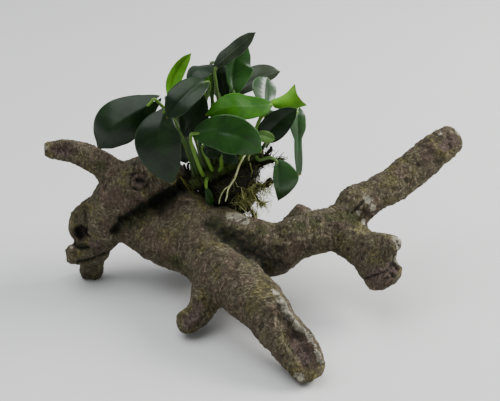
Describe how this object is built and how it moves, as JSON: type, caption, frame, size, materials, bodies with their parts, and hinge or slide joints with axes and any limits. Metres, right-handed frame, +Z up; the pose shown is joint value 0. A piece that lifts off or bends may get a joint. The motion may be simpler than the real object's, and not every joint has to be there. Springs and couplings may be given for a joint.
{
  "type": "anubias plant on driftwood",
  "caption": "Branched driftwood on splayed legs with a horn and a forked arm, carrying a leafy anubias rooted in the hollow of its trunk.",
  "frame": {"origin": "middle of the object's footprint, on the floor that its feet stand on", "axes": "+X to the right along the forked arm, +Y to the back, +Z up"},
  "size_m": [0.3005, 0.1934, 0.1934],
  "materials": {
    "driftwood": "rough, weathered, olive brown with grey ridges",
    "leaf": "waxy, glossy dark green leaf",
    "young_leaf": "waxy, bright yellow green young leaf",
    "green_stem": "smooth green creeping stem",
    "roots": "matted dark fibrous roots",
    "pale_root": "pale cream green root"
  },
  "bodies": {
    "root": {"trunk": "driftwood", "left_limb": "driftwood", "left_horn": "driftwood", "front_leg": "driftwood", "middle_leg": "driftwood", "right_arm": "driftwood", "upper_branch": "driftwood", "lower_fork": "driftwood", "rear_leg": "driftwood", "rhizome": "green_stem", "root_pad": "roots", "pale_root": "pale_root", "leaf_left": "leaf", "leaf_front_hanging": "leaf", "leaf_over_front": "leaf", "leaf_yellow_upright": "young_leaf", "leaf_top_left": "leaf", "leaf_top": "leaf", "leaf_tall": "leaf", "leaf_behind_tall": "leaf", "leaf_backlit": "young_leaf", "leaf_right_back": "leaf", "leaf_pale_gloss": "leaf", "leaf_bright_curled": "young_leaf", "leaf_bright_middle": "young_leaf", "leaf_front": "leaf", "leaf_right_dark": "leaf", "leaf_right_hanging": "leaf", "leaf_right_low": "leaf", "leaf_small_curled": "young_leaf", "leaf_shaded_left": "leaf", "leaf_shaded_middle": "leaf", "leaf_shaded_low": "leaf", "leaf_new": "leaf", "leaf_under_front": "leaf", "leaf_back_left": "leaf", "leaf_back_middle": "leaf", "leaf_back_high": "leaf", "leaf_back_top": "leaf", "leaf_back_right": "leaf"}
  },
  "joints": []
}
